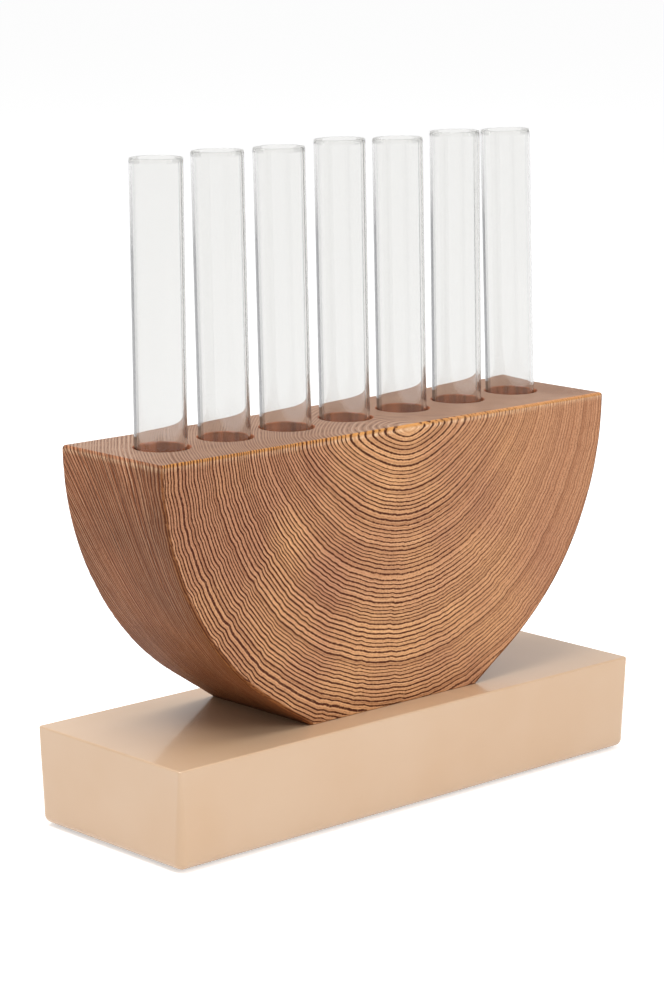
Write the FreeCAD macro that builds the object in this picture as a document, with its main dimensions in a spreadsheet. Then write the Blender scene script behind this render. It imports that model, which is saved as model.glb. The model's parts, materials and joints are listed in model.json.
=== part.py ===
import FreeCAD, Part
import math
import os
import re

import Sketcher
from FreeCAD import Placement, Rotation, Vector

# A row of glass test tubes standing in a half-round wooden block on a lacquered wooden slab.
# The slab rests on four felt pads. Two screws and two dowels come up through it into the block.
# Frame: X along the row, Y to the back, Z up, origin under the middle, where the pads rest.
# Lengths are in millimetres and angles in degrees.

SIZES = {
    # Felt pads
    "pad_radius": 9.0,
    "pad_thickness": 1.5,
    "pad_inset": 7.0,
    # Slab
    "slab_length": 304.0,
    "slab_depth": 105.0,
    "slab_height": 48.0,
    "slab_upper_corner_radius": 1.4,
    "slab_lower_corner_radius": 4.6,
    "slab_top_round": 1.0,
    "slab_bottom_round": 4.0,
    "slab_side_draft": 0.5,
    # Half-round block
    "block_length": 295.0,
    "block_depth": 73.0,
    "block_height": 138.0,
    "block_edge_round": 1.6,
    "foot_length": 113.0,
    # Bores for the tubes
    "row_end_margin": 30.8,
    "bore_depth": 45.0,
    "bore_clearance": 0.7,
    "bore_rim_bevel": 0.6,
    # Glass tubes
    "tube_radius": 12.5,
    "tube_wall": 1.2,
    "tube_lip_bevel": 0.4,
    "tube_length": 180.0,
    "tube_length_play": 1.2,
    "tube_side_gap": 0.2,
    "tube_seat_gap": 0.2,
    # Screws, from below
    "screw_radius": 2.5,
    "screw_length": 60.0,
    "screw_point_length": 6.0,
    "screw_head_radius": 4.8,
    "screw_head_height": 3.4,
    "screw_head_bevel": 1.4,
    "drive_slot_width": 1.1,
    "drive_slot_length": 5.6,
    "drive_slot_depth": 2.2,
    "clearance_hole_gap": 0.3,
    "pilot_hole_gap": 0.05,
    "pilot_end_gap": 1.0,
    "washer_radius": 6.0,
    "washer_thickness": 1.2,
    "counterbore_gap": 0.8,
    "counterbore_depth": 20.0,
    # Dowels
    "dowel_radius": 4.0,
    "dowel_length": 40.0,
    "dowel_chamfer": 0.8,
    "dowel_hole_gap": 0.05,
    "dowel_end_gap": 0.6,
    # Shares: the roundness of the block's sides, and places along half of the foot
    "block_roundness_share": 0.965,
    "screw_place_share": 0.36,
    "dowel_place_share": 0.72,
}

# One entry per tube, from left to right.
# The lean is a share of the most that the bore allows, and its direction a share of a turn from +X to +Y.
LEAN_SHARES = (0.18, 0.58, 0.68, 0.63, 0.65, 0.52, 0.97)
LEAN_TURN_SHARES = (0.37, 0.385, 0.39, 0.38, 0.375, 0.37, 0.385)
# Hand-cut tubes differ in length, by a share of the play between them.
LENGTH_SHARES = (-1.0, -0.2, -0.65, 0.65, -0.75, 0.25, -0.75)
TUBE_COUNT = len(LEAN_SHARES)

# Sizes that follow from the ones above
DERIVED = {
    "overhang": "(block_length - foot_length) / 2",
    "cornered_arc_radius": "(overhang ^ 2 + block_height ^ 2) / (2 * overhang)",
    "block_arc_radius": "block_roundness_share * cornered_arc_radius",
    "block_floor": "pad_thickness + slab_height",
    "bore_pitch": f"(block_length - 2 * row_end_margin) / {TUBE_COUNT - 1}",
    "bore_radius": "tube_radius + bore_clearance",
    "clearance_hole_radius": "screw_radius + clearance_hole_gap",
    "counterbore_radius": "washer_radius + counterbore_gap",
    "screw_seat": "counterbore_depth - washer_thickness",
    "pilot_hole_radius": "screw_radius + pilot_hole_gap",
    "pilot_hole_depth": "screw_seat + screw_length + pilot_end_gap - slab_height",
    "screw_place": "screw_place_share * foot_length / 2",
    "dowel_hole_radius": "dowel_radius + dowel_hole_gap",
    "dowel_hole_depth": "dowel_length / 2 + dowel_end_gap",
    "dowel_place": "dowel_place_share * foot_length / 2",
}

# Numbers by which a sketch knows the points of an edge, its own axes and its origin
START, END, CENTRE = range(1, 4)
H_AXIS, V_AXIS = range(-1, -3, -1)
ORIGIN_POINT = (H_AXIS, START)

doc = FreeCAD.newDocument("TestTubeVase")
sheet = doc.addObject("Spreadsheet::Sheet", "Sizes")


def fill_sheet():
    """Write every named size into the sheet, one to a row."""
    formulas = {alias: f"={formula}" for alias, formula in DERIVED.items()}
    numbers = {alias: repr(number) for alias, number in SIZES.items()}
    for row, (alias, text) in enumerate({**numbers, **formulas}.items(), start=1):
        sheet.set(f"A{row}", alias.replace("_", " "))
        sheet.set(f"B{row}", text)
        sheet.setAlias(f"B{row}", alias)
    doc.recompute()


def value(formula):
    """Work out a formula of size names."""
    return float(sheet.evalExpression(formula))


def bound(formula):
    """Write a formula of size names as an expression for objects outside the sheet."""
    return re.sub(r"[a-z]\w*", r"Sizes.\g<0>", formula)


def bind(target, **formulas):
    """Bind properties of an object to formulas, with a double underscore for each dot in a name."""
    for name, formula in formulas.items():
        target.setExpression(name.replace("__", "."), bound(formula))


def origin_feature(body, role):
    """Return one of a body's own origin planes or axes."""
    return next(feature for feature in body.Origin.OriginFeatures if feature.Role == role)


def new_body(label, **placement):
    """Add an empty body, placed by formulas for its Base__x, Base__y and Base__z."""
    body = doc.addObject("PartDesign::Body", label)
    body.Label = label
    bind(body, **{f"Placement__{axis}": formula for axis, formula in placement.items()})
    return body


def new_sketch(body, name, plane="XY_Plane", offset=None):
    """Attach a sketch to an origin plane of a body, moved along its normal by a formula."""
    sketch = body.newObject("Sketcher::SketchObject", f"{body.Name}_{name}")
    sketch.AttachmentSupport = [(origin_feature(body, plane), "")]
    sketch.MapMode = "FlatFace"
    if offset:
        bind(sketch, AttachmentOffset__Base__z=offset)
    return sketch


def new_feature(body, kind, name, profile, **settings):
    """Add a feature that works on a sketch of its body."""
    feature = body.newObject(f"PartDesign::{kind}", f"{body.Name}_{name}")
    feature.Profile = profile
    for setting, choice in settings.items():
        setattr(feature, setting, choice)
    return feature


def dimension(sketch, kind, places, formula, sign=1):
    """Add a dimension of a sketch, bound to a formula."""
    index = sketch.addConstraint(Sketcher.Constraint(kind, *places, sign * value(formula)))
    sketch.setExpression(f"Constraints[{index}]", f"{sign} * ({bound(formula)})")


def place_point(sketch, point, x_formula, y_formula, x_sign=1, y_sign=1):
    """Fix a point of a sketch by formulas, or on an axis where a formula is None."""
    if x_formula:
        dimension(sketch, "DistanceX", (*ORIGIN_POINT, *point), x_formula, x_sign)
    else:
        sketch.addConstraint(Sketcher.Constraint("PointOnObject", *point, V_AXIS))
    if y_formula:
        dimension(sketch, "DistanceY", (*ORIGIN_POINT, *point), y_formula, y_sign)
    else:
        sketch.addConstraint(Sketcher.Constraint("PointOnObject", *point, H_AXIS))


def add_line(sketch, start, end):
    """Add a straight edge and return its index."""
    return sketch.addGeometry(Part.LineSegment(Vector(*start, 0), Vector(*end, 0)), False)


def add_arc(sketch, centre, radius, from_angle, to_angle):
    """Add an anticlockwise arc between two angles in radians and return its index."""
    circle = Part.Circle(Vector(*centre, 0), Vector(0, 0, 1), radius)
    return sketch.addGeometry(Part.ArcOfCircle(circle, from_angle, to_angle), False)


def add_circle(sketch, x_formula, radius_formula, x_sign=1):
    """Add a full circle on the sketch's horizontal axis, sized and placed by formulas."""
    x_place = x_sign * value(x_formula) if x_formula else 0
    circle = Part.Circle(Vector(x_place, 0, 0), Vector(0, 0, 1), value(radius_formula))
    index = sketch.addGeometry(circle, False)
    dimension(sketch, "Radius", (index,), radius_formula)
    place_point(sketch, (index, CENTRE), x_formula, None, x_sign)


def join_ends(sketch, joints):
    """Join pairs of points of a sketch, each given as the edge and point of both."""
    for places in joints:
        sketch.addConstraint(Sketcher.Constraint("Coincident", *places))


def add_chain(sketch, corners):
    """Add straight edges from corner to corner, each a pair of formulas or None for zero."""
    points = [tuple(value(formula) if formula else 0 for formula in corner) for corner in corners]
    edges = [add_line(sketch, start, end) for start, end in zip(points, points[1:])]
    join_ends(sketch, [(edge, END, following, START) for edge, following in zip(edges, edges[1:])])
    for edge, corner in zip(edges, corners):
        place_point(sketch, (edge, START), *corner)
    place_point(sketch, (edges[-1], END), *corners[-1])
    return edges


def add_polygon(sketch, corners):
    """Add a closed outline of straight edges, from corners like those of a chain."""
    edges = add_chain(sketch, corners)
    first, last = ([value(formula) if formula else 0 for formula in corners[place]] for place in (0, -1))
    closing = add_line(sketch, last, first)
    join_ends(sketch, [(edges[-1], END, closing, START), (closing, END, edges[0], START)])


def add_rectangle(sketch, length_formula, depth_formula):
    """Add a rectangle centred on the sketch's origin."""
    right, back = f"({length_formula}) / 2", f"({depth_formula}) / 2"
    left, front = f"-1 * {right}", f"-1 * {back}"
    add_polygon(sketch, [(left, front), (right, front), (right, back), (left, back)])


def edges_where(body, test):
    """Name the edges of a body's tip that pass a test on their bounding box in the body's own frame."""
    edges = body.Tip.Shape.Edges
    return [f"Edge{count}" for count, edge in enumerate(edges, start=1) if test(edge)]


def soften_edges(body, name, test, **size):
    """Round the edges of a body that pass a test, given a Radius, or bevel them, given a Size."""
    doc.recompute()
    base = body.Tip
    names = edges_where(body, test)
    kind = "Fillet" if "Radius" in size else "Chamfer"
    feature = body.newObject(f"PartDesign::{kind}", f"{body.Name}_{name}")
    feature.Base = (base, names)
    bind(feature, **size)


def lies_at_height(height):
    """Make a test for edges that lie wholly at one height."""

    def test(edge):
        box = edge.BoundBox
        return math.isclose(box.ZMin, height, abs_tol=1e-4) and math.isclose(box.ZMax, height, abs_tol=1e-4)

    return test


def drill(body, name, holes, depth_formula, offset=None, upwards=False):
    """Cut round holes on the X axis, given as (place formula, sign) with one radius formula."""
    radius_formula, places = holes
    sketch = new_sketch(body, f"{name}_circles", offset=offset)
    for x_formula, x_sign in places:
        add_circle(sketch, x_formula, radius_formula, x_sign)
    pocket = new_feature(body, "Pocket", name, sketch, Reversed=upwards)
    bind(pocket, Length=depth_formula)
    return pocket


def make_felt_pads():
    """Make the four felt discs that the slab rests on, one near each corner."""
    pads = []
    for x_name, x_sign in (("left", -1), ("right", 1)):
        for y_name, y_sign in (("front", -1), ("back", 1)):
            pad = doc.addObject("Part::Cylinder", f"felt_pad_{y_name}_{x_name}")
            pad.Label = pad.Name
            bind(pad, Radius="pad_radius", Height="pad_thickness")
            bind(pad, Placement__Base__x=f"{x_sign} * (slab_length / 2 - pad_inset - pad_radius)")
            bind(pad, Placement__Base__y=f"{y_sign} * (slab_depth / 2 - pad_inset - pad_radius)")
            pads.append(pad)
    return pads


def is_upright(edge):
    """Tell whether an edge rises through more than half of the slab."""
    return edge.BoundBox.ZLength > value("slab_height / 2")


def round_slab_edges(name, base, test, lower_formula, upper_formula):
    """Round the outer edges of the slab that pass a test, with a radius for their lower and upper ends."""
    doc.recompute()
    fillet = doc.addObject("Part::Fillet", name)
    fillet.Base = base
    radii = [value(lower_formula), value(upper_formula)]
    rounds = []
    for count, edge in enumerate(base.Shape.Edges, start=1):
        is_outer = max(-edge.BoundBox.YMin, edge.BoundBox.YMax) > value("slab_depth / 4")
        if is_outer and test(edge):
            rises = edge.valueAt(edge.FirstParameter).z < edge.valueAt(edge.LastParameter).z
            rounds.append((count, *(radii if rises else radii[::-1])))
    fillet.Edges = rounds
    return fillet


def make_slab():
    """Make the lacquered slab, crisp at the top and softer towards the bottom, with its holes."""
    blank = new_body("slab_blank", Base__z="pad_thickness")
    outline = new_sketch(blank, "outline", offset="slab_height")
    add_rectangle(outline, "slab_length", "slab_depth")
    pad = new_feature(blank, "Pad", "solid", outline, Reversed=True)
    bind(pad, Length="slab_height", TaperAngle="-1 * slab_side_draft")
    screws = (("screw_place", -1), ("screw_place", 1))
    dowels = (("dowel_place", -1), ("dowel_place", 1))
    drill(blank, "screw_holes", ("clearance_hole_radius", screws), "slab_height", upwards=True)
    drill(blank, "counterbores", ("counterbore_radius", screws), "counterbore_depth", upwards=True)
    drill(blank, "dowel_holes", ("dowel_hole_radius", dowels), "dowel_hole_depth", offset="slab_height")

    is_bottom = lies_at_height(value("pad_thickness"))
    is_top = lies_at_height(value("block_floor"))
    corner_radii = ("slab_lower_corner_radius", "slab_upper_corner_radius")
    corners = round_slab_edges("slab_corners", blank, is_upright, *corner_radii)
    lower = round_slab_edges("slab_lower_edges", corners, is_bottom, "slab_bottom_round", "slab_bottom_round")
    slab = round_slab_edges("base_slab", lower, is_top, "slab_top_round", "slab_top_round")
    slab.Label = "base_slab"
    return slab


def draw_block_outline(sketch):
    """Draw the block's front outline: a flat top, two round sides and flats that run to a narrow foot.

    Each side starts upright at the top corner, follows one arc and leaves it on a straight tangent that
    ends in the foot's corner.
    """
    radius = value("block_arc_radius")
    half_top = value("block_length / 2")
    half_foot = value("foot_length / 2")
    height = value("block_height")
    centre_x = half_top - radius
    reach = math.hypot(half_foot - centre_x, height)
    slope = math.atan2(height, centre_x - half_foot) - math.asin(radius / reach)
    run = math.sqrt(reach**2 - radius**2)
    touch = (half_foot + run * math.cos(slope), run * math.sin(slope))
    swing = math.atan2(height - touch[1], touch[0] - centre_x)
    top = add_line(sketch, (-half_top, height), (half_top, height))
    foot = add_line(sketch, (-half_foot, 0), (half_foot, 0))
    right_arc = add_arc(sketch, (centre_x, height), radius, -swing, 0)
    left_arc = add_arc(sketch, (-centre_x, height), radius, math.pi, math.pi + swing)
    right_flat = add_line(sketch, touch, (half_foot, 0))
    left_flat = add_line(sketch, (-touch[0], touch[1]), (-half_foot, 0))
    joints = [
        (top, END, right_arc, END),
        (top, START, left_arc, START),
        (foot, END, right_flat, END),
        (foot, START, left_flat, END),
    ]
    join_ends(sketch, joints)
    sketch.addConstraint(Sketcher.Constraint("Tangent", right_arc, START, right_flat, START))
    sketch.addConstraint(Sketcher.Constraint("Tangent", left_arc, END, left_flat, START))
    sketch.addConstraint(Sketcher.Constraint("Horizontal", top))
    sketch.addConstraint(Sketcher.Constraint("PointOnObject", right_arc, CENTRE, top))
    sketch.addConstraint(Sketcher.Constraint("PointOnObject", left_arc, CENTRE, top))
    dimension(sketch, "Radius", (right_arc,), "block_arc_radius")
    dimension(sketch, "Radius", (left_arc,), "block_arc_radius")
    place_point(sketch, (top, END), "block_length / 2", "block_height")
    dimension(sketch, "DistanceX", (top, START, top, END), "block_length")
    place_point(sketch, (foot, END), "foot_length / 2", None)
    place_point(sketch, (foot, START), "foot_length / 2", None, x_sign=-1)


def make_block():
    """Make the half-round block, with its row of flat-bottomed bores and the blind holes in its foot."""
    body = new_body("half_round_block", Base__z="block_floor")
    outline = new_sketch(body, "outline", "XZ_Plane")
    draw_block_outline(outline)
    pad = new_feature(body, "Pad", "solid", outline, SideType="Symmetric")
    bind(pad, Length="block_depth")
    at_top = lies_at_height(value("block_height"))
    at_foot = lies_at_height(0)

    def borders_top_or_front_or_back(edge):
        return at_top(edge) or (edge.BoundBox.YLength < value("block_edge_round") and not at_foot(edge))

    soften_edges(body, "edge_round", borders_top_or_front_or_back, Radius="block_edge_round")
    row_start = (("bore_pitch", -(TUBE_COUNT - 1) / 2),)
    bore = drill(body, "bore", ("bore_radius", row_start), "bore_depth", offset="block_height")
    row = body.newObject("PartDesign::LinearPattern", "half_round_block_bore_row")
    row.Originals = [bore]
    row.Direction = (origin_feature(body, "X_Axis"), [""])
    row.Mode = "Spacing"
    row.Occurrences = TUBE_COUNT
    bind(row, Offset="bore_pitch")
    body.Tip = row

    def is_bore_rim(edge):
        return at_top(edge) and isinstance(edge.Curve, Part.Circle)

    soften_edges(body, "rim_bevel", is_bore_rim, Size="bore_rim_bevel")
    screws = (("screw_place", -1), ("screw_place", 1))
    dowels = (("dowel_place", -1), ("dowel_place", 1))
    drill(body, "pilot_holes", ("pilot_hole_radius", screws), "pilot_hole_depth", upwards=True)
    drill(body, "dowel_holes", ("dowel_hole_radius", dowels), "dowel_hole_depth", upwards=True)
    return body


def draw_tube_profile(sketch, length_formula):
    """Draw half of a tube's section: a round bottom, a straight wall and a softened lip.

    The sketch's origin is the centre of the round bottom.
    """
    outer = value("tube_radius")
    inner = value("tube_radius - tube_wall")
    top_formula = f"{length_formula} - tube_radius"
    straight_formula = f"{top_formula} - tube_lip_bevel"
    straight = value(straight_formula)
    quarter = math.pi / 2
    outer_arc = add_arc(sketch, (0, 0), outer, -quarter, 0)
    inner_arc = add_arc(sketch, (0, 0), inner, -quarter, 0)
    bottom = add_line(sketch, (0, -inner), (0, -outer))
    outer_line = add_line(sketch, (outer, 0), (outer, straight))
    inner_line = add_line(sketch, (inner, straight), (inner, 0))
    lip_corners = [
        ("tube_radius", straight_formula),
        ("tube_radius - tube_lip_bevel", top_formula),
        ("tube_radius - tube_wall + tube_lip_bevel", top_formula),
        ("tube_radius - tube_wall", straight_formula),
    ]
    lip = add_chain(sketch, lip_corners)
    joints = [
        (inner_arc, START, bottom, START),
        (bottom, END, outer_arc, START),
        (outer_line, END, lip[0], START),
        (lip[-1], END, inner_line, START),
        (outer_arc, CENTRE, *ORIGIN_POINT),
        (inner_arc, CENTRE, *ORIGIN_POINT),
    ]
    join_ends(sketch, joints)
    sketch.addConstraint(Sketcher.Constraint("Tangent", outer_arc, END, outer_line, START))
    sketch.addConstraint(Sketcher.Constraint("Tangent", inner_line, END, inner_arc, END))
    for arc in (outer_arc, inner_arc):
        sketch.addConstraint(Sketcher.Constraint("PointOnObject", arc, START, V_AXIS))
    for line in (outer_line, inner_line):
        sketch.addConstraint(Sketcher.Constraint("Vertical", line))


def tube_placement(place, lean_share, turn_share):
    """Stand a tube in its bore, leaning against the rim, and return the placement of its round bottom."""
    play = value("bore_clearance - tube_side_gap")
    held_length = value("bore_depth - tube_seat_gap - tube_radius")
    lean = lean_share * math.atan2(2 * play, held_length)
    turn = turn_share * 2 * math.pi
    offset = play - held_length * math.tan(lean)
    towards = Vector(math.cos(turn), math.sin(turn), 0)
    seat = Vector(place, 0, value("block_floor + block_height - bore_depth + tube_seat_gap + tube_radius"))
    hinge = Vector(0, 0, 1).cross(towards)
    return Placement(seat + towards * offset, Rotation(hinge, math.degrees(lean)))


def make_tubes():
    """Make the glass tubes, each a solid of its own, from left to right."""
    tubes = []
    for count in range(TUBE_COUNT):
        body = new_body(f"test_tube_{count + 1}")
        profile = new_sketch(body, "profile", "XZ_Plane")
        draw_tube_profile(profile, f"tube_length + ({LENGTH_SHARES[count]}) * tube_length_play")
        new_feature(body, "Revolution", "glass", profile, ReferenceAxis=(profile, ["V_Axis"]))
        place = (count - (TUBE_COUNT - 1) / 2) * value("bore_pitch")
        body.Placement = tube_placement(place, LEAN_SHARES[count], LEAN_TURN_SHARES[count])
        tubes.append(body)
    return tubes


def pair_of(label, original):
    """Join a solid and its mirror image across the middle plane into one group."""
    twin = doc.addObject("Part::Mirroring", f"{label}_twin")
    twin.Source = original
    twin.Normal = Vector(1, 0, 0)
    group = doc.addObject("Part::Compound", label)
    group.Label = label
    group.Links = [original, twin]
    return group


def make_screws():
    """Make the two pan-head screws that pull the block down, with their heads in the counterbores."""
    body = new_body("screw", Base__x="screw_place", Base__z="pad_thickness + screw_seat")
    profile = new_sketch(body, "profile", "XZ_Plane")
    head = "-1 * screw_head_height"
    corners = [
        (None, head),
        ("screw_head_radius - screw_head_bevel", head),
        ("screw_head_radius", f"{head} + screw_head_bevel"),
        ("screw_head_radius", None),
        ("screw_radius", None),
        ("screw_radius", "screw_length - screw_point_length"),
        (None, "screw_length"),
    ]
    add_polygon(profile, corners)
    new_feature(body, "Revolution", "turned", profile, ReferenceAxis=(profile, ["V_Axis"]))
    slot = new_sketch(body, "slot", offset=head)
    add_rectangle(slot, "drive_slot_length", "drive_slot_width")
    pocket = new_feature(body, "Pocket", "drive_slot", slot, Reversed=True)
    bind(pocket, Length="drive_slot_depth")
    cross = body.newObject("PartDesign::PolarPattern", "screw_drive_cross")
    cross.Originals = [pocket]
    cross.Axis = (origin_feature(body, "Z_Axis"), [""])
    cross.Angle = 90
    cross.Occurrences = 2
    body.Tip = cross
    return pair_of("fixing_screws", body)


def make_washers():
    """Make the two washers under the screw heads, flat against the floors of the counterbores."""
    disc = doc.addObject("Part::Cylinder", "washer_disc")
    hole = doc.addObject("Part::Cylinder", "washer_hole")
    bind(disc, Radius="washer_radius", Height="washer_thickness")
    bind(hole, Radius="clearance_hole_radius", Height="washer_thickness")
    washer = doc.addObject("Part::Cut", "washer")
    washer.Base = disc
    washer.Tool = hole
    bind(washer, Placement__Base__x="screw_place", Placement__Base__z="pad_thickness + screw_seat")
    return pair_of("screw_washers", washer)


def make_dowels():
    """Make the two dowels that keep the block square on the slab."""
    body = new_body("dowel", Base__x="dowel_place", Base__z="block_floor - dowel_length / 2")
    profile = new_sketch(body, "profile", "XZ_Plane")
    narrow = "dowel_radius - dowel_chamfer"
    corners = [
        (None, None),
        (narrow, None),
        ("dowel_radius", "dowel_chamfer"),
        ("dowel_radius", "dowel_length - dowel_chamfer"),
        (narrow, "dowel_length"),
        (None, "dowel_length"),
    ]
    add_polygon(profile, corners)
    new_feature(body, "Revolution", "turned", profile, ReferenceAxis=(profile, ["V_Axis"]))
    return pair_of("locating_dowels", body)


def write_steps(pieces):
    """Check every object and shape, and write each piece to its own file."""
    doc.recompute()
    for item in doc.Objects:
        if {"Invalid", "Error"} & set(item.State):
            raise RuntimeError(f"{item.Name} did not build: {item.State}")
    for piece in pieces:
        if piece.Shape.isNull() or not piece.Shape.isValid():
            raise RuntimeError(f"{piece.Label} has no valid shape")
    os.makedirs("parts", exist_ok=True)
    for piece in pieces:
        piece.Shape.exportStep(f"parts/{piece.Label}.step")
        print(piece.Label, len(piece.Shape.Solids), "solids", round(piece.Shape.Volume), "mm3")


fill_sheet()
slab = make_slab()
block = make_block()
tubes = make_tubes()
fixings = [make_screws(), make_washers(), make_dowels()]
write_steps([slab, block, *tubes, *fixings, *make_felt_pads()])
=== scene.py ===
import json
import logging
import math
import random
from collections.abc import Callable, Sequence
from dataclasses import dataclass, field
from enum import Enum

import bmesh
import bpy
import numpy as np
from mathutils import Matrix, Vector


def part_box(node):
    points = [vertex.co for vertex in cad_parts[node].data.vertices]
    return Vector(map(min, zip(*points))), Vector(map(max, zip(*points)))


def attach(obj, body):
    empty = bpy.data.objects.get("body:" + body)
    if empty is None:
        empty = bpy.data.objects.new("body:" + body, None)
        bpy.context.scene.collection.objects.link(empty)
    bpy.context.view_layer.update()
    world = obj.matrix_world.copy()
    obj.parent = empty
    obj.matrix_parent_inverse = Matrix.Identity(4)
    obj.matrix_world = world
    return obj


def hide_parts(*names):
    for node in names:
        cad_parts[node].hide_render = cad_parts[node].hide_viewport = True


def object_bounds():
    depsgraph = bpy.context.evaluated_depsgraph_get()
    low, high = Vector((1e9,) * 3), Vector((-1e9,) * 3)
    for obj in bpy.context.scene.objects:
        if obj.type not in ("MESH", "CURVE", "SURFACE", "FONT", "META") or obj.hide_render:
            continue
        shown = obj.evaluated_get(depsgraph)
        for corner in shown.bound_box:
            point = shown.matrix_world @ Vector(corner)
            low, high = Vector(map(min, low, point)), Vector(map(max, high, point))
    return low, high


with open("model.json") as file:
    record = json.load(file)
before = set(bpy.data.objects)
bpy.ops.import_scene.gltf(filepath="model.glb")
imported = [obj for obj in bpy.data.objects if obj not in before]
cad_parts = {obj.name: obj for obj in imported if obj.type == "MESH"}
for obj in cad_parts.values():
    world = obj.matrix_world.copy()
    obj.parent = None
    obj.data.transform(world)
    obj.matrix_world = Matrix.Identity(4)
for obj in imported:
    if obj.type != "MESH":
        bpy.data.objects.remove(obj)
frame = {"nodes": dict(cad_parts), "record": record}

# The looks of a vase of seven glass test tubes in a half-round wooden block on a lacquered slab.
# Everything is in metres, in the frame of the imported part: X along the row, Y to the back, Z up.

CAD_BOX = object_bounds()
MM = 0.001
TINY = 0.001 * MM
STAND = "stand"
TUBE_COUNT = 7
WHITE = (1, 1, 1, 1)
log = logging.getLogger("test_tube_vase")

Colour = tuple[float, float, float]
Span = tuple[float, float]
Place = Callable[[int, int], Sequence[float]]
Socket = bpy.types.NodeSocket

# Most values of a noise lie in this span.
NOISE_SPAN: Span = (0.35, 0.65)


def colour(red: int, green: int, blue: int) -> Colour:
    """Turn a colour as seen on a screen, from 0 to 255, into linear light.

    Args:
        red: The red part.
        green: The green part.
        blue: The blue part.

    Returns:
        The three parts in linear light, from 0 to 1.
    """
    shares = (part / 255 for part in (red, green, blue))
    return tuple(s / 12.92 if s <= 0.04045 else ((s + 0.055) / 1.055) ** 2.4 for s in shares)


class WoodFace(Enum):
    """The ways in which the block's grain shows, each with the number of its material on the mesh."""

    END = 0
    SIDE = 1
    TOP = 2
    BORE = 3


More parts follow.
